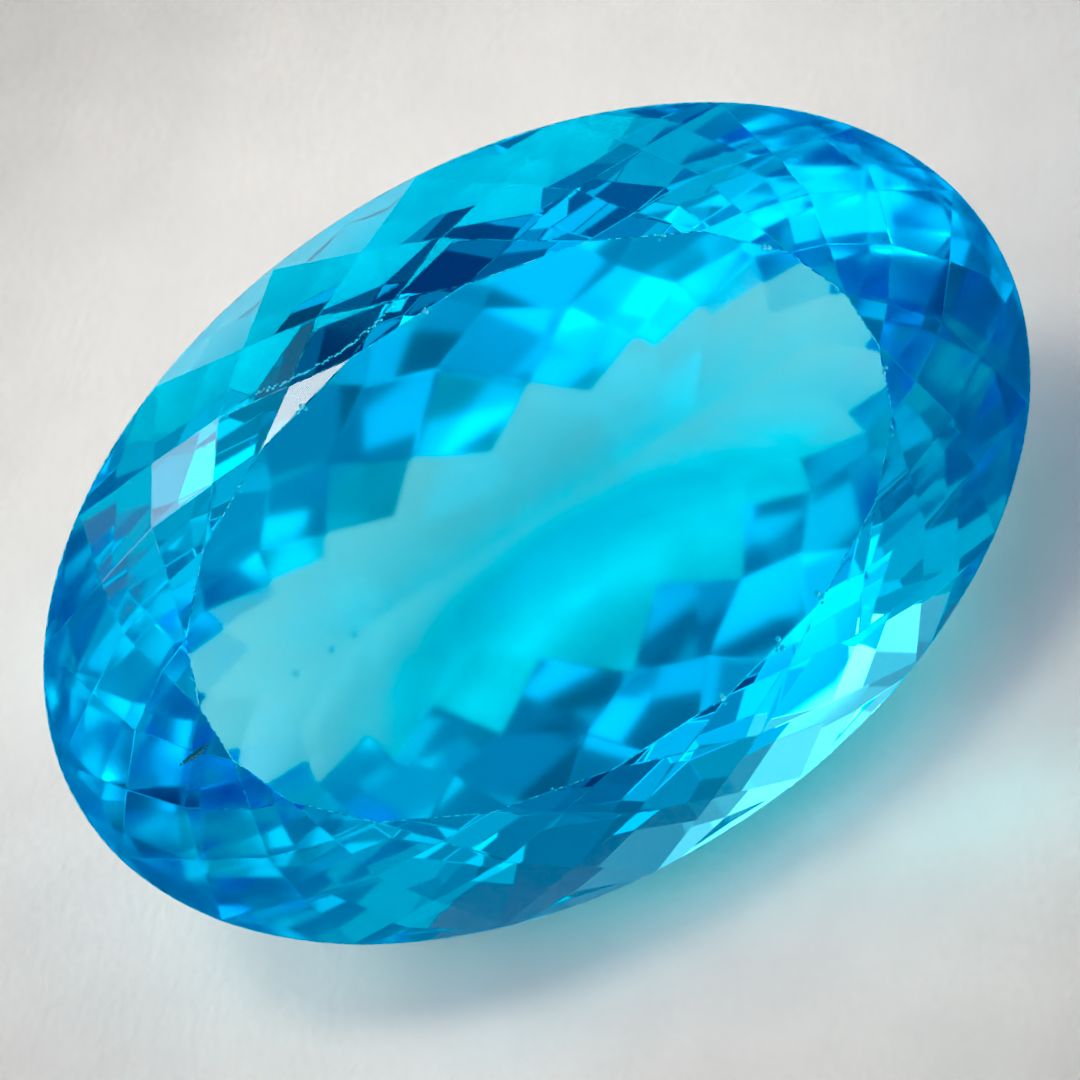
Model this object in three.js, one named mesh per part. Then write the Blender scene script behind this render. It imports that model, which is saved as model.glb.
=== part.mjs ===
// An oval mixed-cut topaz, lying on one of the facets beside its keel.
//
// The stone is worked out in its own cutting frame first: girdle plane at z = 0, table facing +Z,
// long axis along X. Every facet is a plane. Each row of facets is laid through the points that the
// rows nearer the girdle leave, so the rows close in clean meets, as a cutter closes them.
// The finished solid is then rolled onto its resting facet, which comes to lie on z = 0.

import * as THREE from "three";

// ---------------------------------------------------------------- driving dimensions (mm, degrees)

const LENGTH = 22.0; // girdle outline, long axis
const WIDTH = 14.8; // girdle outline, short axis
const GIRDLE_THICKNESS = 0.2; // where the facets come closest to each other
const FOLDS = 20; // facets in every row, above the girdle and below it
const FLATS_PER_FOLD = 6; // flats that stand for the ground, round girdle
const TABLE_LEVEL = 2.55; // height of the table over the girdle's middle

// Inclination of each row of facets to the girdle plane, on the long sides and at the two ends.
// Both lists start at the girdle.
const CROWN_ROWS = [
  { side: 56.3, end: 49.0 },
  { side: 50.2, end: 41.9 },
  { side: 41.4, end: 33.0 },
  { side: 34.6, end: 26.8 },
];
const CROWN_BLEND = 1.7; // how closely the end angles keep to the ends: higher is closer
const PAVILION_ROWS = [
  { side: 54.6, end: 65.2 },
  { side: 51.4, end: 58.8 },
  { side: 48.4, end: 51.2 },
  { side: 41.0, end: 40.2 },
  { side: 37.2, end: 36.7 },
  { side: 32.7, end: 33.0 },
];
const PAVILION_BLEND = 3.3;

const REST_ROW = 4; // the pavilion row the stone lies on
const REST_FACET = 15; // and the facet of that row, counted round from the +X end

const TURN = 2 * Math.PI;
const PITCH = TURN / FOLDS;

// ---------------------------------------------------------------- points, planes and meets

/** The point of the girdle outline at parameter t, at height z. */
function ovalPoint(t, z) {
  return new THREE.Vector3(0.5 * LENGTH * Math.cos(t), 0.5 * WIDTH * Math.sin(t), z);
}

/** The way the outline faces at parameter t, as an angle from +X. */
function outlineAzimuth(t) {
  return Math.atan2(LENGTH * Math.sin(t), WIDTH * Math.cos(t));
}

/** A facet's plane, facing outwards. An inclination above 90 degrees faces down. */
function facetPlane(azimuth, inclination, point) {
  const normal = new THREE.Vector3(
    Math.sin(inclination) * Math.cos(azimuth),
    Math.sin(inclination) * Math.sin(azimuth),
    Math.cos(inclination),
  );
  return new THREE.Plane().setFromNormalAndCoplanarPoint(normal, point);
}

/** The one point that three planes share. */
function meet(first, second, third) {
  const a = new THREE.Vector3().crossVectors(second.normal, third.normal);
  const b = new THREE.Vector3().crossVectors(third.normal, first.normal);
  const c = new THREE.Vector3().crossVectors(first.normal, second.normal);
  const volume = first.normal.dot(a);
  return a
    .multiplyScalar(first.constant)
    .addScaledVector(b, second.constant)
    .addScaledVector(c, third.constant)
    .multiplyScalar(-1 / volume);
}

/** The plane through three points, facing away from the stone's middle. */
function planeThrough(p, q, r) {
  const plane = new THREE.Plane().setFromCoplanarPoints(p, q, r);
  return plane.constant > 0 ? plane.negate() : plane;
}

// ---------------------------------------------------------------- the girdle

/** Upright planes that touch the oval outline, one for each flat of the girdle. */
function girdlePlanes() {
  const flats = FOLDS * FLATS_PER_FOLD;
  return Array.from({ length: flats }, (_, flat) => {
    const t = (flat * TURN) / flats;
    return facetPlane(outlineAzimuth(t), 0.5 * Math.PI, ovalPoint(t, 0));
  });
}

// ---------------------------------------------------------------- rows of facets

/** The parameter at the middle of a facet. Every other row is staggered by half a facet. */
function facetMiddle(row, facet) {
  return (facet + 0.5 * (row % 2)) * PITCH;
}

/** Inclination of a row in radians, where the outline faces the given way. */
function rowInclination({ side, end }, blend, azimuth) {
  const endShare = Math.abs(Math.cos(azimuth)) ** blend;
  return THREE.MathUtils.degToRad(side + (end - side) * endShare);
}

/** Upright planes where the facets of the first row come together. */
function junctionPlanes() {
  return Array.from({ length: FOLDS }, (_, facet) => {
    const t = facetMiddle(1, facet);
    return facetPlane(outlineAzimuth(t), 0.5 * Math.PI, ovalPoint(t, 0));
  });
}

/** The two facets of the row before that a facet lies between. */
function neighbours(previous, row, facet) {
  return row % 2 === 1
    ? [previous[facet], previous[(facet + 1) % FOLDS]]
    : [previous[(facet + FOLDS - 1) % FOLDS], previous[facet]];
}

/**
 * Rows of facets from the girdle inwards: up the crown (updown 1) or down the pavilion (updown -1).
 * The first row starts on the outline. Each later facet starts at the point where the facet two
 * rows before it meets the two facets between.
 */
function facetRows(inclinations, blend, updown) {
  const rows = [];
  let twoBefore = junctionPlanes();
  inclinations.forEach((inclination, row) => {
    const planes = Array.from({ length: FOLDS }, (_, facet) => {
      const t = facetMiddle(row, facet);
      const azimuth = outlineAzimuth(t);
      const start =
        row === 0
          ? ovalPoint(t, 0.5 * updown * GIRDLE_THICKNESS)
          : meet(twoBefore[facet], ...neighbours(rows[row - 1], row, facet));
      const lean = rowInclination(inclination, blend, azimuth);
      return facetPlane(azimuth, updown > 0 ? lean : Math.PI - lean, start);
    });
    if (row > 0) {
      twoBefore = rows[row - 1];
    }
    rows.push(planes);
  });
  return rows;
}

// ---------------------------------------------------------------- the table and its stars

/** The point of a facet at the table's level, straight uphill from where the facet starts. */
function tableCorner(plane, start) {
  const uphill = new THREE.Vector3(-plane.normal.x, -plane.normal.y, 0).normalize();
  const slope = Math.hypot(plane.normal.x, plane.normal.y) / plane.normal.z;
  const rise = TABLE_LEVEL - start.z;
  return start.clone().addScaledVector(uphill, rise / slope).setZ(TABLE_LEVEL);
}

/** The table, and a star on each of its sides, reaching down between two kites. */
function tableAndStars(crown) {
  const [, outer, middle, inner] = crown;
  const corners = inner.map((plane, facet) => {
    const start = meet(outer[facet], ...neighbours(middle, 3, facet));
    return tableCorner(plane, start);
  });
  const stars = corners.map((corner, facet) => {
    const last = (facet + FOLDS - 1) % FOLDS;
    const point = meet(middle[facet], inner[last], inner[facet]);
    return planeThrough(corners[last], corner, point);
  });
  return [facetPlane(0, 0, new THREE.Vector3(0, 0, TABLE_LEVEL)), ...stars];
}

// ---------------------------------------------------------------- from planes to a solid

const BLANK_SIZE = 4 * LENGTH; // each facet is cut out of a square this big
const POINT_GAP = 1e-5; // points closer than this are one point

/** A large square lying in a plane, wound so that its face points along the normal. */
function blankFacet(plane) {
  const helper = Math.abs(plane.normal.z) < 0.9 ? new THREE.Vector3(0, 0, 1) : new THREE.Vector3(1, 0, 0);
  const across = new THREE.Vector3().crossVectors(helper, plane.normal).setLength(0.5 * BLANK_SIZE);
  const along = new THREE.Vector3().crossVectors(plane.normal, across);
  const centre = plane.coplanarPoint(new THREE.Vector3());
  return [
    [-1, -1],
    [1, -1],
    [1, 1],
    [-1, 1],
  ].map(([x, y]) => centre.clone().addScaledVector(across, x).addScaledVector(along, y));
}

/** The part of a polygon that lies behind a plane. */
function cutBack(polygon, plane) {
  const kept = [];
  polygon.forEach((point, index) => {
    const next = polygon[(index + 1) % polygon.length];
    const here = plane.distanceToPoint(point);
    const there = plane.distanceToPoint(next);
    if (here <= 0) {
      kept.push(point);
    }
    if (here * there < 0) {
      kept.push(point.clone().lerp(next, here / (here - there)));
    }
  });
  return kept;
}

/** A polygon without points that repeat the one before them. */
function withoutRepeats(polygon) {
  return polygon.filter((point, index) => {
    const last = polygon[(index + polygon.length - 1) % polygon.length];
    return point.distanceTo(last) > POINT_GAP;
  });
}

/** The outline of every facet of the solid that lies behind all the planes. */
function facetOutlines(planes) {
  return planes
    .map((plane) => {
      const others = planes.filter((other) => other !== plane);
      return withoutRepeats(others.reduce(cutBack, blankFacet(plane)));
    })
    .filter((outline) => outline.length > 2);
}

/** A geometry of flat facets, each split into triangles from its first point. */
function facetedGeometry(outlines) {
  const points = [];
  outlines.forEach((outline) => {
    for (let corner = 1; corner < outline.length - 1; corner += 1) {
      points.push(outline[0], outline[corner], outline[corner + 1]);
    }
  });
  const geometry = new THREE.BufferGeometry().setFromPoints(points);
  geometry.computeVertexNormals();
  return geometry;
}

// ---------------------------------------------------------------- resting pose

/** The move that lays a plane of the stone on z = 0, with its outside facing down. */
function layDown(plane) {
  const down = new THREE.Vector3(0, 0, -1);
  const roll = new THREE.Quaternion().setFromUnitVectors(plane.normal, down);
  const move = new THREE.Matrix4().makeRotationFromQuaternion(roll);
  return move.premultiply(new THREE.Matrix4().makeTranslation(0, 0, -plane.constant));
}

const crown = facetRows(CROWN_ROWS, CROWN_BLEND, 1);
const pavilion = facetRows(PAVILION_ROWS, PAVILION_BLEND, -1);
const stone = facetedGeometry(
  facetOutlines([...tableAndStars(crown), ...crown.flat(), ...girdlePlanes(), ...pavilion.flat()]),
);
stone.applyMatrix4(layDown(pavilion[REST_ROW][REST_FACET]));

// ---------------------------------------------------------------- the model

const topaz = new THREE.Mesh(
  stone,
  new THREE.MeshStandardMaterial({ color: 0x12b4e6, roughness: 0.03, metalness: 0 }),
);
topaz.name = "topaz";

const model = new THREE.Group();
model.add(topaz);

export default model;
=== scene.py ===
"""Dresses the cut topaz: a clear blue stone with worn edges, lying on a sheet of pale paper."""

import logging
import math
import random
from collections.abc import Iterator
from dataclasses import dataclass, field
from enum import Enum

import bpy
from mathutils import Matrix, Vector


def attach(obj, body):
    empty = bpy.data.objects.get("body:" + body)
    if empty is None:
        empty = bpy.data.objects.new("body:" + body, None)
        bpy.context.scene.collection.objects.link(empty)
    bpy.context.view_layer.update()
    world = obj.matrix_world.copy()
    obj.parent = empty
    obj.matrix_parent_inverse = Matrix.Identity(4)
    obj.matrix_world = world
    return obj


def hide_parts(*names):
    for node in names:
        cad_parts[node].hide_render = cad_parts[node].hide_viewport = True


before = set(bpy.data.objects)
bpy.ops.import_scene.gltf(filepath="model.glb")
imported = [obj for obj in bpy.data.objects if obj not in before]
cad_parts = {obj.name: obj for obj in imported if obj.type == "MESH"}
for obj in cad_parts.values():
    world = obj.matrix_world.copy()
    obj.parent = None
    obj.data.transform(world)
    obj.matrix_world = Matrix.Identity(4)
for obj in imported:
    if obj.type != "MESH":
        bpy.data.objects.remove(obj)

Colour = tuple[float, float, float]
Place = tuple[float, float, float]

MM = 0.001
STONE_TILT = 37.2  # how far the table leans from level, in degrees
GIRDLE_HEIGHT = 5.970  # how high the middle of the girdle lies over the paper, in millimetres
POLISH = "polish"
EDGE = "edge"
BROKEN = "broken"
STAIN = "stain"
MIX_SHARE, MIX_FIRST, MIX_SECOND, MIX_RESULT = 0, 6, 7, 2  # sockets of a Mix node for colours
SAME_MATERIAL = -1  # a bevel's faces keep the material of the faces beside them
LOG = logging.getLogger("topaz")


# ------------------------------------------------------------------------------- shader maths


@dataclass(frozen=True)
class Amount:
    """A number that changes over a surface: one output socket, with plain arithmetic."""

    sheet: "NodeSheet"
    socket: bpy.types.NodeSocket

    def _maths(self, operation: str, first: "Amount | float", second: "Amount | float") -> "Amount":
        """Works out one operation with a Math node."""
        node = self.sheet.add("ShaderNodeMath", {"operation": operation}, {0: first, 1: second})
        return Amount(self.sheet, node.outputs[0])

    def __add__(self, other: "Amount | float") -> "Amount":
        """Returns self + other."""
        return self._maths("ADD", self, other)

    __radd__ = __add__

    def __sub__(self, other: "Amount | float") -> "Amount":
        """Returns self - other."""
        return self._maths("SUBTRACT", self, other)

    def __rsub__(self, other: float) -> "Amount":
        """Returns other - self."""
        return self._maths("SUBTRACT", other, self)

    def __mul__(self, other: "Amount | float") -> "Amount":
        """Returns self * other."""
        return self._maths("MULTIPLY", self, other)

    __rmul__ = __mul__


@dataclass(frozen=True)
class NodeSheet:
    """The node tree of one material, of the room or of the finished picture."""

    tree: bpy.types.NodeTree

    def add(
        self,
        kind: str,
        settings: dict[str, object] | None = None,
        sockets: dict[str | int, object] | None = None,
    ) -> bpy.types.Node:
        """Adds a node.

        Args:
            kind: the node's type.
            settings: its own settings, set first.
            sockets: a value, an Amount or an output for each named or numbered input.

        Returns:
            The new node.
        """
        node = self.tree.nodes.new(kind)
        for name, value in (settings or {}).items():
            setattr(node, name, value)
        for name, value in (sockets or {}).items():
            source = value.socket if isinstance(value, Amount) else value
            if isinstance(source, bpy.types.NodeSocket):
                self.tree.links.new(source, node.inputs[name])
            else:
                node.inputs[name].default_value = source
        return node

    def amount(self, node: bpy.types.Node, output: str | int = 0) -> Amount:
        """Returns one output of a node as an Amount."""
        return Amount(self, node.outputs[output])

    def along(self, vector: bpy.types.NodeSocket, axis: Vector) -> Amount:
        """Returns how far a vector reaches along an axis."""
        node = self.add("ShaderNodeVectorMath", {"operation": "DOT_PRODUCT"}, {0: vector, 1: axis})
        return self.amount(node, "Value")

    def distance(self, place: bpy.types.NodeSocket, centre: Place) -> Amount:
        """Returns how far a place is from a centre."""
        node = self.add("ShaderNodeVectorMath", {"operation": "DISTANCE"}, {0: place, 1: centre})
        return self.amount(node, "Value")

    def attribute(self, name: str) -> Amount:
        """Returns a number stored on the mesh."""
        return self.amount(self.add("ShaderNodeAttribute", {"attribute_name": name}), "Fac")

    def noise(self, place: bpy.types.NodeSocket, scale: float, detail: float) -> Amount:
        """Returns soft noise between 0 and 1, with the given number of lumps to a metre."""
        sockets = {"Vector": place, "Scale": scale, "Detail": detail}
        return self.amount(self.add("ShaderNodeTexNoise", sockets=sockets))

    def step(self, value: Amount, low: float, high: float) -> Amount:
        """Rises smoothly with a value.

        Args:
            value: the value that is looked at.
            low: where the rise starts.
            high: where it ends.

        Returns:
            0 below low, 1 above high and the rise between.
        """
        node = self.add(
            "ShaderNodeMapRange",
            {"interpolation_type": "SMOOTHSTEP"},
            {"Value": value, "From Min": low, "From Max": high},
        )
        return self.amount(node)

    def scaled(self, colour: Colour, amount: Amount) -> bpy.types.NodeSocket:
        """Returns a colour times an amount."""
        sockets = {0: colour, "Scale": amount}
        return self.add("ShaderNodeVectorMath", {"operation": "SCALE"}, sockets).outputs[0]

    def sum(self, first: bpy.types.NodeSocket, second: bpy.types.NodeSocket) -> bpy.types.NodeSocket:
        """Returns the sum of two colours."""
        sockets = {0: first, 1: second}
        return self.add("ShaderNodeVectorMath", {"operation": "ADD"}, sockets).outputs[0]

    def mixed(self, share: Amount, first: Colour, second: Colour) -> bpy.types.NodeSocket:
        """Returns the first colour where the share of the second is 0, and the second where it is 1."""
        sockets = {MIX_SHARE: share, MIX_FIRST: (*first, 1.0), MIX_SECOND: (*second, 1.0)}
        return self.add("ShaderNodeMix", {"data_type": "RGBA"}, sockets).outputs[MIX_RESULT]

    def exponential(self, power: Amount) -> Amount:
        """Returns e to a power."""
        return self.amount(self.add("ShaderNodeMath", {"operation": "EXPONENT"}, {0: power}))


def direction(azimuth: float, height: float) -> Vector:
    """Works out a direction.

    Args:
        azimuth: which way it points over the ground, in degrees from +X.
        height: how steeply it rises, in degrees.

    Returns:
        The unit vector.
    """
    flat = math.cos(math.radians(height))
    turn = math.radians(azimuth)
    return Vector((flat * math.cos(turn), flat * math.sin(turn), math.sin(math.radians(height))))


def bare_material(name: str) -> tuple[bpy.types.Material, NodeSheet]:
    """Makes a material that has no nodes yet.

    Args:
        name: the material's name.

    Returns:
        The material and its node sheet.
    """
    material = bpy.data.materials.new(name)
    material.use_nodes = True
    material.node_tree.nodes.clear()
    return material, NodeSheet(material.node_tree)


# ------------------------------------------------------------------------------- finishes


@dataclass(frozen=True)
class TopazFinish:
    """Clear blue topaz: light bends into it and loses red on its way. Nicks and crumbs are frosted."""

    name: str = "topaz"
    ior: float = 1.62
    light_kept: Colour = (0.38, 0.93, 0.993)
    absorption_per_m: float = 230.0
    nick_scale: float = 9000.0
    nick_detail: float = 2.0
    nick_from: float = 0.42
    nick_to: float = 0.6
    nick_roughness: float = 0.35
    nick_frost: float = 0.6
    crumb_roughness: float = 0.4
    crumb_frost: float = 0.75
    frost: Colour = (0.42, 0.84, 0.92)
    frost_roughness: float = 0.5
    stain: Colour = (0.16, 0.09, 0.05)

    def material(self) -> bpy.types.Material:
        """Makes the stone's material, whose roughness follows the polish of each facet.

        Returns:
            The material.
        """
        material, sheet = bare_material(self.name)
        place = sheet.add("ShaderNodeTexCoord").outputs["Object"]
        spots = sheet.noise(place, self.nick_scale, self.nick_detail)
        nicked = sheet.attribute(EDGE) * sheet.step(spots, self.nick_from, self.nick_to)
        broken = sheet.attribute(BROKEN)
        wear = nicked * self.nick_roughness + broken * self.crumb_roughness
        clear = sheet.add(
            "ShaderNodeBsdfPrincipled",
            sockets={
                "Base Color": (1.0, 1.0, 1.0, 1.0),
                "Roughness": sheet.attribute(POLISH) + wear,
                "IOR": self.ior,
                "Transmission Weight": 1.0,
            },
        )
        frosted = sheet.add(
            "ShaderNodeBsdfPrincipled",
            sockets={
                "Base Color": sheet.mixed(sheet.attribute(STAIN), self.frost, self.stain),
                "Roughness": self.frost_roughness,
                "IOR": self.ior,
            },
        )
        surface = sheet.add(
            "ShaderNodeMixShader",
            sockets={
                0: nicked * self.nick_frost + broken * self.crumb_frost,
                1: clear.outputs[0],
                2: frosted.outputs[0],
            },
        )
        inside = sheet.add(
            "ShaderNodeVolumeAbsorption",
            sockets={"Color": (*self.light_kept, 1.0), "Density": self.absorption_per_m},
        )
        sheet.add(
            "ShaderNodeOutputMaterial",
            sockets={"Surface": surface.outputs[0], "Volume": inside.outputs[0]},
        )
        return material


@dataclass(frozen=True)
class PaperFinish:
    """Pale, faintly warm paper with soft fibres, and a painted pool of light: darker away from the
    stone.
    """

    name: str = "pale_paper"
    colour: Colour = (0.93, 0.87, 0.74)
    roughness: float = 0.8
    # painted light pool: the paper's colour is painted darker between these two radii round this centre
    painted_pool_centre: Place = (0.0, 4.0 * MM, 0.0)
    painted_pool_radius: float = 9.0 * MM
    painted_fade_radius: float = 24.0 * MM
    painted_falloff: float = 0.40
    cloud_scale: float = 420.0
    cloud_detail: float = 2.0
    cloud_depth: float = 0.14
    fibre_scale: float = 5000.0
    fibre_detail: float = 5.0
    fibre_depth: float = 0.12
    relief: float = 0.06 * MM
    relief_strength: float = 0.5

    def material(self) -> bpy.types.Material:
        """Makes the paper's material.

        Returns:
            The material.
        """
        material, sheet = bare_material(self.name)
        place = sheet.add("ShaderNodeTexCoord").outputs["Object"]
        reach = sheet.distance(place, self.painted_pool_centre)
        painted_fade = sheet.step(reach, self.painted_pool_radius, self.painted_fade_radius)
        clouds = sheet.noise(place, self.cloud_scale, self.cloud_detail)
        fibres = sheet.noise(place, self.fibre_scale, self.fibre_detail)
        # painted pool of light, darker away from the stone, plus the paper's own random clouds
        painted_fade_and_clouds = 1.0 - self.painted_falloff * painted_fade + self.cloud_depth * (clouds - 0.5)
        bump = sheet.add(
            "ShaderNodeBump",
            sockets={"Strength": self.relief_strength, "Distance": self.relief, "Height": fibres},
        )
        surface = sheet.add(
            "ShaderNodeBsdfPrincipled",
            sockets={
                "Base Color": sheet.scaled(self.colour, painted_fade_and_clouds + self.fibre_depth * (fibres - 0.5)),
                "Roughness": self.roughness,
                "Normal": bump.outputs[0],
            },
        )
        sheet.add("ShaderNodeOutputMaterial", sockets={"Surface": surface.outputs[0]})
        return material


# ------------------------------------------------------------------------------- wear


@dataclass(frozen=True)
class CuttingFrame:
    """The stone's own axes: along its length, across it and up through the table."""

    tilt: float = STONE_TILT
    centre: Place = (0.0, 0.0, GIRDLE_HEIGHT)

    def place(self, along: float, across: float, up: float) -> Vector:
        """Returns a point given in millimetres from the middle of the girdle."""
        return MM * (Vector(self.centre) + self.way(along, across, up))

    def way(self, along: float, across: float, up: float) -> Vector:
        """Turns a vector out of the stone's own axes.

        Args:
            along: its part along the stone.
            across: its part across.
            up: its part towards the table.

        Returns:
            The vector in the axes of the scene.
        """
        cosine = math.cos(math.radians(self.tilt))
        sine = math.sin(math.radians(self.tilt))
        return Vector((along, across * cosine - up * sine, across * sine + up * cosine))


@dataclass(frozen=True)
class Crumb:
    """A small splinter that has broken away, in millimetres from the middle of the girdle."""

    along: float
    across: float
    radius: float
    stained: bool = False
    below: bool = False


@dataclass(frozen=True)
class Chip:
    """A chip in the table's edge: where round the oval in degrees, how wide, and its crumbs."""

    turn: float
    radius: float
    count: int
    spread: float = 1.6
    smallest: float = 0.4

    def crumbs(self, edge: tuple[float, float], chance: random.Random) -> Iterator[Crumb]:
        """Lists the chip's crumbs.

        Args:
            edge: where the table's edge lies there.
            chance: where the random numbers come from.

        Yields:
            Each crumb.
        """
        spread = self.spread * self.radius
        for _ in range(self.count):
            along = edge[0] + chance.uniform(-spread, spread)
            across = edge[1] + chance.uniform(-spread, spread)
            yield Crumb(along, across, self.radius * chance.uniform(self.smallest, 1.0))


@dataclass(frozen=True)
class PitGroup:
    """A few fine pits close together on the table, in millimetres from its middle."""

    along: float
    across: float
    count: int
    spread: float
    radii: tuple[float, float] = (0.012, 0.024)

    def crumbs(self, chance: random.Random) -> Iterator[Crumb]:
        """Lists the pits.

        Args:
            chance: where the random numbers come from.

        Yields:
            Each pit.
        """
        for _ in range(self.count):
            along = self.along + chance.uniform(-self.spread, self.spread)
            across = self.across + chance.uniform(-self.spread, self.spread)
            yield Crumb(along, across, chance.uniform(*self.radii))


@dataclass(frozen=True)
class Scratch:
    """A long scratch over the crown: small pits in a row along an arc, in millimetres and degrees."""

    centre: tuple[float, float] = (-1.70, 11.62)
    radius: float = 6.458
    start: float = -105.0
    sweep: float = 30.0
    count: int = 58
    wobble: float = 0.03
    radii: tuple[float, float] = (0.02, 0.044)

    def crumbs(self, chance: random.Random) -> Iterator[Crumb]:
        """Lists the scratch's pits.

        Args:
            chance: where the random numbers come from.

        Yields:
            Each pit.
        """
        for pit in range(self.count):
            turn = math.radians(self.start + self.sweep * pit / (self.count - 1))
            radius = self.radius + chance.uniform(-self.wobble, self.wobble)
            along = self.centre[0] + radius * math.cos(turn)
            across = self.centre[1] + radius * math.sin(turn)
            yield Crumb(along, across, chance.uniform(*self.radii))


@dataclass(frozen=True)
class Sliver:
    """A stained sliver, thick in the middle and thin at its ends, in millimetres."""

    start: tuple[float, float] = (-8.72, -0.14)
    reach: tuple[float, float] = (0.72, 0.05)
    count: int = 9
    thin: float = 0.03
    swelling: float = 0.05

    def crumbs(self) -> Iterator[Crumb]:
        """Lists the sliver's crumbs.

        Yields:
            Each crumb.
        """
        for crumb in range(self.count):
            share = crumb / (self.count - 1)
            along = self.start[0] + self.reach[0] * share
            across = self.start[1] + self.reach[1] * share
            radius = self.thin + self.swelling * math.sin(math.pi * share)
            yield Crumb(along, across, radius, stained=True)


TABLE_CHIPS = (
    Chip(9.0, 0.04, 2),
    Chip(26.0, 0.07, 5),
    Chip(46.0, 0.06, 4),
    Chip(66.0, 0.04, 2),
    Chip(87.0, 0.06, 4),
    Chip(112.0, 0.07, 5),
    Chip(129.0, 0.04, 2),
    Chip(149.0, 0.04, 2),
    Chip(166.0, 0.04, 2),
    Chip(188.0, 0.04, 2),
    Chip(249.0, 0.04, 2),
    Chip(280.0, 0.07, 5),
    Chip(292.0, 0.08, 6),
    Chip(303.0, 0.08, 6),
    Chip(322.0, 0.04, 2),
    Chip(335.0, 0.06, 3),
    Chip(348.0, 0.06, 3),
)
TABLE_PITS = (
    PitGroup(2.43, -2.60, count=9, spread=0.28),
    PitGroup(1.46, -2.46, count=4, spread=0.16),
)
KEEL_NICKS = (
    Crumb(-5.86, 0.0, 0.07, below=True),
    Crumb(-4.98, 0.0, 0.07, below=True),
    Crumb(-4.41, 0.0, 0.07, below=True),
)


class Surface(Enum):
    """The parts of the surface that are not facets, by the slot that holds them while it is built."""

    ROUNDED_EDGE = 1
    CRUMB = 2
    STAINED_CRUMB = 3


@dataclass
class Wear:
    """The chips, pits and scratch that use has left on the stone. Its sizes are in millimetres."""

    axes: CuttingFrame = field(default_factory=CuttingFrame)
    half_length: float = 11.0
    half_width: float = 7.4
    table_level: float = 2.55
    table_slack: float = 0.004
    edge_from: float = 0.4
    edge_to: float = 0.95
    halvings: int = 14
    probe_height: float = 20.0
    scratch: Scratch = field(default_factory=Scratch)
    sliver: Sliver = field(default_factory=Sliver)
    seed: int = 7
    chance: random.Random = field(init=False)

    def __post_init__(self) -> None:
        """Starts the random numbers from the seed."""
        self.chance = random.Random(self.seed)

    def surface(self, stone: bpy.types.Object, along: float, across: float, below: bool) -> Vector:
        """Finds the stone's surface above or below a place in its girdle plane.

        Args:
            stone: the stone.
            along: how far the place lies along the stone, in millimetres.
            across: how far across.
            below: whether the surface on the pavilion's side is meant.

        Returns:
            The point of the surface.
        """
        side = -1.0 if below else 1.0
        start = self.axes.place(along, across, self.probe_height * side)
        _, point, _, _ = stone.ray_cast(start, self.axes.way(0.0, 0.0, -side))
        return point

    def table_edge(self, stone: bpy.types.Object, turn: float) -> tuple[float, float]:
        """Finds the table's edge by halving the stretch that it lies in.

        Args:
            stone: the stone.
            turn: the angle round the oval, in degrees.

        Returns:
            Where the edge lies along and across the stone, in millimetres.
        """
        along = self.half_length * math.cos(math.radians(turn))
        across = self.half_width * math.sin(math.radians(turn))
        low, high = self.edge_from, self.edge_to
        for _ in range(self.halvings):
            middle = 0.5 * (low + high)
            point = self.surface(stone, middle * along, middle * across, below=False)
            level = (point - self.axes.place(0.0, 0.0, 0.0)).dot(self.axes.way(0.0, 0.0, 1.0))
            if level > (self.table_level - self.table_slack) * MM:
                low = middle
            else:
                high = middle
        return low * along, low * across

    def crumbs(self, stone: bpy.types.Object) -> list[Crumb]:
        """Lists every crumb that has broken away.

        Args:
            stone: the stone, still whole.

        Returns:
            The crumbs.
        """
        found: list[Crumb] = []
        for chip in TABLE_CHIPS:
            found.extend(chip.crumbs(self.table_edge(stone, chip.turn), self.chance))
        for pits in TABLE_PITS:
            found.extend(pits.crumbs(self.chance))
        found.extend(KEEL_NICKS)
        found.extend(self.scratch.crumbs(self.chance))
        found.extend(self.sliver.crumbs())
        return found

    def lump(self, stone: bpy.types.Object, crumb: Crumb) -> bpy.types.Object:
        """Models one crumb as a small rough lump set into the surface.

        Args:
            stone: the stone, still whole.
            crumb: the crumb.

        Returns:
            The lump.
        """
        point = self.surface(stone, crumb.along, crumb.across, crumb.below)
        turn = [self.chance.uniform(0.0, math.tau) for _ in range(3)]
        bpy.ops.mesh.primitive_ico_sphere_add(
            subdivisions=1, radius=crumb.radius * MM, location=point, rotation=turn
        )
        lump = bpy.context.active_object
        for material in stone.data.materials:
            lump.data.materials.append(material)
        part = Surface.STAINED_CRUMB if crumb.stained else Surface.CRUMB
        for face in lump.data.polygons:
            face.material_index = part.value
        return lump

    def cutter(self, stone: bpy.types.Object) -> bpy.types.Object:
        """Makes one object of all crumbs.

        Args:
            stone: the stone, still whole.

        Returns:
            The object.
        """
        lumps = [self.lump(stone, crumb) for crumb in self.crumbs(stone)]
        bpy.ops.object.select_all(action="DESELECT")
        for lump in lumps:
            lump.select_set(True)
        bpy.ops.object.join()
        return bpy.context.active_object

    def mark(self, stone: bpy.types.Object) -> None:
        """Breaks the crumbs out of the stone.

        Args:
            stone: the stone.
        """
        cutter = self.cutter(stone)
        bpy.ops.object.select_all(action="DESELECT")
        bpy.context.view_layer.objects.active = stone
        stone.select_set(True)
        wear = stone.modifiers.new("wear", "BOOLEAN")
        wear.operation = "DIFFERENCE"
        wear.solver = "EXACT"
        wear.use_self = True
        wear.object = cutter
        bpy.ops.object.modifier_apply(modifier=wear.name)
        bpy.data.objects.remove(cutter)


# ------------------------------------------------------------------------------- the stone


class Side(Enum):
    """The parts of the stone, each of which is polished in its own way."""

    TABLE = "table"
    CROWN = "crown"
    GIRDLE = "girdle"
    PAVILION = "pavilion"


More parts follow.
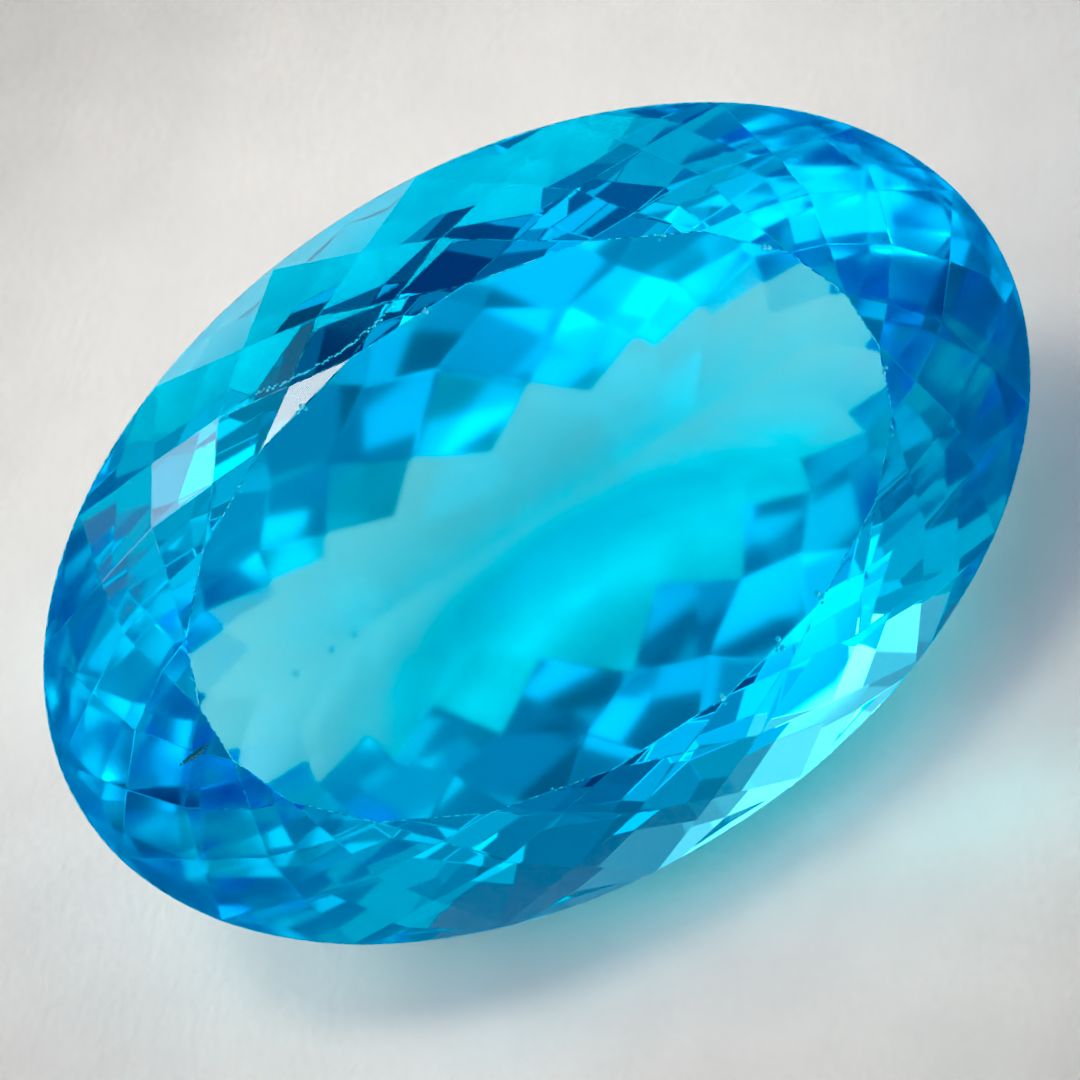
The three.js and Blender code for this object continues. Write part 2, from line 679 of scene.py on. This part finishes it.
@dataclass(frozen=True)
class Rounding:
    """How one kind of edge is rounded: between which sides it lies, how wide, and how worn."""

    between: tuple[set[Side], ...]
    width: float
    segments: int
    worn: bool
    profile: float = 0.5


@dataclass
class CutStone:
    """The topaz itself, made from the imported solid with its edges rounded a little."""

    node: str = "topaz"
    tilt: float = STONE_TILT
    table_azimuth: float = 270.0
    finish: TopazFinish = field(default_factory=TopazFinish)
    wear: Wear = field(default_factory=Wear)
    roundings: tuple[Rounding, ...] = (
        Rounding(({Side.PAVILION},), width=0.025 * MM, segments=2, worn=False),
        Rounding(({Side.CROWN, Side.GIRDLE},), width=0.05 * MM, segments=2, worn=True),
        Rounding(({Side.CROWN}, {Side.TABLE, Side.CROWN}), width=0.016 * MM, segments=1, worn=True),
    )
    polish: dict[Side, float] = field(
        default_factory=lambda: {
            Side.TABLE: 0.14,
            Side.CROWN: 0.04,
            Side.GIRDLE: 0.35,
            Side.PAVILION: 0.0,
        }
    )
    end_roughness: float = 0.13
    end_start: float = 5.5 * MM
    end_length: float = 4.5 * MM
    crown_edge_wear: float = 0.3
    flattest_crown_edge: float = 18.0
    steepest_crown_edge: float = 58.0
    girdle_lift: float = 0.02
    table_lift: float = 0.9995
    same_point: float = 0.002 * MM
    same_facet: float = math.radians(0.3)

    def lift(self, normal: Vector) -> float:
        """Returns 1 for the table's normal, 0 for the girdle's and less for the pavilion's."""
        return normal.dot(direction(self.table_azimuth, 90.0 - self.tilt))

    def side_of(self, normal: Vector) -> Side:
        """Tells which part of the stone a facet belongs to.

        Args:
            normal: the facet's normal.

        Returns:
            The part.
        """
        lift = self.lift(normal)
        if abs(lift) < self.girdle_lift:
            return Side.GIRDLE
        if lift > self.table_lift:
            return Side.TABLE
        return Side.CROWN if lift > 0.0 else Side.PAVILION

    def whole_facets(self) -> bpy.types.Object:
        """Copies the solid and joins the triangles of each facet.

        Returns:
            The copy, with nothing selected in its mesh.
        """
        bpy.ops.object.select_all(action="DESELECT")
        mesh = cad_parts[self.node].data.copy()
        stone = bpy.data.objects.new("cut_stone", mesh)
        bpy.context.scene.collection.objects.link(stone)
        bpy.context.view_layer.objects.active = stone
        stone.select_set(True)
        bpy.ops.object.mode_set(mode="EDIT")
        bpy.ops.mesh.select_mode(type="EDGE")
        bpy.ops.mesh.select_all(action="SELECT")
        bpy.ops.mesh.remove_doubles(threshold=self.same_point)
        bpy.ops.mesh.dissolve_limited(angle_limit=self.same_facet)
        bpy.ops.mesh.select_all(action="DESELECT")
        bpy.ops.object.mode_set(mode="OBJECT")
        return stone

    def round_edges(self, stone: bpy.types.Object, rounding: Rounding) -> None:
        """Rounds one kind of edge.

        Args:
            stone: the stone's object.
            rounding: which edges are meant, and how wide they become.
        """
        mesh = stone.data
        sides: dict[tuple[int, int], set[Side]] = {}
        for face in mesh.polygons:
            rounded = face.material_index == Surface.ROUNDED_EDGE.value
            side = Side.GIRDLE if rounded else self.side_of(face.normal)
            for key in face.edge_keys:
                sides.setdefault(key, set()).add(side)
        for edge in mesh.edges:
            edge.select = sides[tuple(sorted(edge.vertices))] in rounding.between
        bpy.ops.object.mode_set(mode="EDIT")
        bpy.ops.mesh.bevel(
            offset=rounding.width,
            segments=rounding.segments,
            profile=rounding.profile,
            material=Surface.ROUNDED_EDGE.value if rounding.worn else SAME_MATERIAL,
            clamp_overlap=False,
        )
        bpy.ops.mesh.select_all(action="DESELECT")
        bpy.ops.object.mode_set(mode="OBJECT")

    def roughness_of(self, face: bpy.types.MeshPolygon) -> float:
        """Works out how rough a face is. The crown gets rougher towards the stone's two ends.

        Args:
            face: the face.

        Returns:
            The roughness.
        """
        side = self.side_of(face.normal)
        reach = abs(face.center.x) if side is Side.CROWN else 0.0
        end = min(max((reach - self.end_start) / self.end_length, 0.0), 1.0)
        return self.polish[side] + self.end_roughness * end

    def wear_of(self, face: bpy.types.MeshPolygon) -> float:
        """Works out how worn a rounded edge is: those inside the crown less than the others.

        Args:
            face: a face of the edge.

        Returns:
            The wear, from 0 to 1.
        """
        flattest = math.cos(math.radians(self.flattest_crown_edge))
        steepest = math.cos(math.radians(self.steepest_crown_edge))
        return self.crown_edge_wear if steepest < self.lift(face.normal) < flattest else 1.0

    def note_surface(self, stone: bpy.types.Object) -> None:
        """Stores on the mesh how rough, worn, broken and stained each face is.

        Args:
            stone: the stone's object.
        """
        mesh = stone.data
        names = (POLISH, EDGE, BROKEN, STAIN)
        for name in names:
            mesh.attributes.new(name, "FLOAT", "FACE")
        polish, edge, broken, stain = (mesh.attributes[name].data for name in names)
        crumb_faces = 0
        for face in mesh.polygons:
            part = face.material_index
            stained = part == Surface.STAINED_CRUMB.value
            crumbled = stained or part == Surface.CRUMB.value
            crumb_faces += crumbled
            polish[face.index].value = self.roughness_of(face)
            broken[face.index].value = float(crumbled)
            stain[face.index].value = float(stained)
            if part == Surface.ROUNDED_EDGE.value:
                edge[face.index].value = self.wear_of(face)
            face.material_index = 0
        LOG.info("%d faces of %d belong to crumbs that broke away", crumb_faces, len(mesh.polygons))

    def build(self) -> bpy.types.Object:
        """Builds the stone and lets it stand for the solid.

        Returns:
            The stone's object.
        """
        stone = self.whole_facets()
        stone.data.materials.clear()
        stone.data.materials.append(self.finish.material())
        for part in Surface:
            stone.data.materials.append(bpy.data.materials.new(part.name.lower()))
        for rounding in self.roundings:
            self.round_edges(stone, rounding)
        self.wear.mark(stone)
        self.note_surface(stone)
        for part in reversed(Surface):
            bpy.data.materials.remove(stone.data.materials.pop(index=part.value))
        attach(stone, "root")
        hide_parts(self.node)
        return stone


# ------------------------------------------------------------------------------- surroundings


@dataclass(frozen=True)
class SoftSpot:
    """A soft spot in the room's light: where it is in degrees, how tight and how strong."""

    azimuth: float
    height: float
    tightness: float
    strength: float

    def glow(self, sheet: NodeSheet, way: bpy.types.NodeSocket) -> Amount:
        """Works out how strong the spot is in each direction.

        Args:
            sheet: the room's node sheet.
            way: the output that holds the direction.

        Returns:
            The strength.
        """
        facing = sheet.along(way, self.tightness * direction(self.azimuth, self.height))
        return sheet.exponential(facing + (math.log(self.strength) - self.tightness))


WHITE_SPOTS = (
    SoftSpot(130.0, 41.0, tightness=34.0, strength=4.2),
    SoftSpot(196.0, 44.0, tightness=30.0, strength=1.37),
    SoftSpot(167.0, 26.0, tightness=30.0, strength=1.5),
    SoftSpot(97.0, 8.0, tightness=30.0, strength=1.9),
    SoftSpot(0.0, 44.0, tightness=30.0, strength=1.4),
    SoftSpot(320.0, 8.0, tightness=30.0, strength=1.30),
)
COOL_SPOTS = (
    SoftSpot(274.0, 57.0, tightness=90.0, strength=2.0),
    SoftSpot(234.0, 57.0, tightness=90.0, strength=1.08),
    SoftSpot(180.0, 62.0, tightness=30.0, strength=1.5),
    SoftSpot(227.0, 35.0, tightness=90.0, strength=0.99),
    SoftSpot(310.0, 46.0, tightness=90.0, strength=0.25),
)
DARK_SPOT = SoftSpot(285.0, 38.0, tightness=7.0, strength=0.6)


@dataclass(frozen=True)
class Lamp:
    """The round soft lamp that hangs over the stone."""

    name: str = "softbox"
    width: float = 0.13
    watts: float = 0.46
    colour: Colour = (0.97, 1.0, 0.93)
    way: tuple[float, float, float] = (-0.165, 0.202, 0.965)
    distance: float = 0.5

    def hang(self, over: Vector) -> bpy.types.Object:
        """Hangs the lamp and turns it to the stone.

        Args:
            over: the point that it shines on.

        Returns:
            The lamp.
        """
        way = Vector(self.way).normalized()
        data = bpy.data.lights.new(self.name, "AREA")
        data.shape = "DISK"
        data.size = self.width
        data.energy = self.watts
        data.color = self.colour
        lamp = bpy.data.objects.new(self.name, data)
        bpy.context.scene.collection.objects.link(lamp)
        lamp.location = over + way * self.distance
        lamp.rotation_euler = way.to_track_quat("Z", "Y").to_euler()
        return lamp


class Curve(Enum):
    """The curves of a contrast node that the picture uses."""

    RED = 0
    ALL_CHANNELS = 3


@dataclass
class Surroundings:
    """The paper, the camera, the studio light and the way the picture is finished."""

    paper_size: float = 0.6
    paper_depth: float = 0.02 * MM
    lean: float = -2.0  # how much lower the camera stands than the table's normal, in degrees
    roll: float = 32.7  # how far the picture is turned, in degrees
    distance: float = 0.30
    view_width: float = 22.063 * MM
    aim_along: float = -0.13 * MM
    aim_across: float = -0.317 * MM
    nearest: float = 10.0 * MM
    girdle_centre: Vector = field(default_factory=lambda: Vector((0.0, 0.0, GIRDLE_HEIGHT * MM)))
    lamp: Lamp = field(default_factory=Lamp)
    room_light: Colour = (0.26, 0.165, 0.285)
    white_light: Colour = (1.13, 1.17, 1.14)
    cool_light: Colour = (0.52, 1.03, 1.26)
    bounces: int = 16
    paper_bounces: int = 4
    black_level: float = 0.04
    red_black_level: float = 0.025
    saturation: float = 1.12

    def paper(self) -> bpy.types.Object:
        """Lays the sheet of paper under the stone.

        Returns:
            The sheet.
        """
        bpy.ops.mesh.primitive_plane_add(
            size=self.paper_size, location=(0.0, 0.0, -self.paper_depth)
        )
        sheet = bpy.context.active_object
        sheet.name = "paper_sheet"
        sheet.data.materials.append(PaperFinish().material())
        return sheet

    def camera(self) -> bpy.types.Object:
        """Sets up the camera, which looks almost straight onto the table.

        Returns:
            The camera.
        """
        height = math.radians(90.0 - STONE_TILT - self.lean)
        towards = Vector((0.0, -math.cos(height), math.sin(height)))
        along = Vector((1.0, 0.0, 0.0))
        across = Vector((0.0, math.sin(height), math.cos(height)))
        turn = math.radians(self.roll)
        right = math.cos(turn) * along - math.sin(turn) * across
        up = math.sin(turn) * along + math.cos(turn) * across
        aim = self.girdle_centre + self.aim_along * along + self.aim_across * across
        data = bpy.data.cameras.new("camera")
        camera = bpy.data.objects.new("camera", data)
        bpy.context.scene.collection.objects.link(camera)
        facing = Matrix((right, up, towards)).transposed().to_4x4()
        camera.matrix_world = Matrix.Translation(aim + towards * self.distance) @ facing
        data.lens = data.sensor_width * self.distance / self.view_width
        data.clip_start = self.nearest
        bpy.context.scene.camera = camera
        return camera

    def room(self) -> None:
        """Fills the room with soft light that is brighter in some places and darker in one."""
        world = bpy.data.worlds.new("room")
        bpy.context.scene.world = world
        world.use_nodes = True
        world.node_tree.nodes.clear()
        sheet = NodeSheet(world.node_tree)
        way = sheet.add("ShaderNodeTexCoord").outputs["Generated"]
        even = sheet.scaled(self.room_light, 1.0 - DARK_SPOT.glow(sheet, way))
        white = sheet.scaled(self.white_light, sum(spot.glow(sheet, way) for spot in WHITE_SPOTS))
        cool = sheet.scaled(self.cool_light, sum(spot.glow(sheet, way) for spot in COOL_SPOTS))
        light = sheet.sum(sheet.sum(white, even), cool)
        background = sheet.add("ShaderNodeBackground", sockets={"Color": light})
        sheet.add("ShaderNodeOutputWorld", sockets={"Surface": background.outputs[0]})

    def light_paths(self) -> None:
        """Lets light bounce often inside the stone, and keeps the picture free of grain."""
        scene = bpy.context.scene
        scene.view_settings.view_transform = "Standard"
        cycles = scene.cycles
        cycles.max_bounces = self.bounces
        cycles.transmission_bounces = self.bounces
        cycles.glossy_bounces = self.bounces
        cycles.diffuse_bounces = self.paper_bounces
        cycles.caustics_reflective = True
        cycles.caustics_refractive = True
        cycles.blur_glossy = 0.0
        cycles.sample_clamp_indirect = 0.0
        cycles.use_denoising = True
        cycles.denoising_input_passes = "RGB"

    def grading(self) -> None:
        """Deepens the blacks of the finished picture, those of red the most, and its colours."""
        scene = bpy.context.scene
        scene.use_nodes = True
        scene.node_tree.nodes.clear()
        sheet = NodeSheet(scene.node_tree)
        layers = sheet.add("CompositorNodeRLayers")
        contrast = sheet.add("CompositorNodeCurveRGB", sockets={"Image": layers.outputs["Image"]})
        levels = {Curve.ALL_CHANNELS: self.black_level, Curve.RED: self.red_black_level}
        for curve, level in levels.items():
            contrast.mapping.curves[curve.value].points[0].location = (level, 0.0)
        contrast.mapping.update()
        graded = sheet.add(
            "CompositorNodeHueSat",
            sockets={"Image": contrast.outputs["Image"], "Saturation": self.saturation},
        )
        sheet.add("CompositorNodeComposite", sockets={"Image": graded.outputs["Image"]})

    def build(self) -> list[bpy.types.Object]:
        """Sets up everything round the stone.

        Returns:
            The camera, the paper and the lamp.
        """
        pieces = [self.camera(), self.paper(), self.lamp.hang(over=self.girdle_centre)]
        self.room()
        self.light_paths()
        self.grading()
        return pieces


def main() -> None:
    """Builds the scene piece by piece and reports each one."""
    logging.basicConfig(level=logging.INFO, format="%(message)s")
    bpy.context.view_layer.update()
    stone = CutStone().build()
    LOG.info("stone %s: %d faces", stone.name, len(stone.data.polygons))
    for piece in Surroundings().build():
        LOG.info("surroundings: %s", piece.name)


if __name__ == "__main__":
    main()
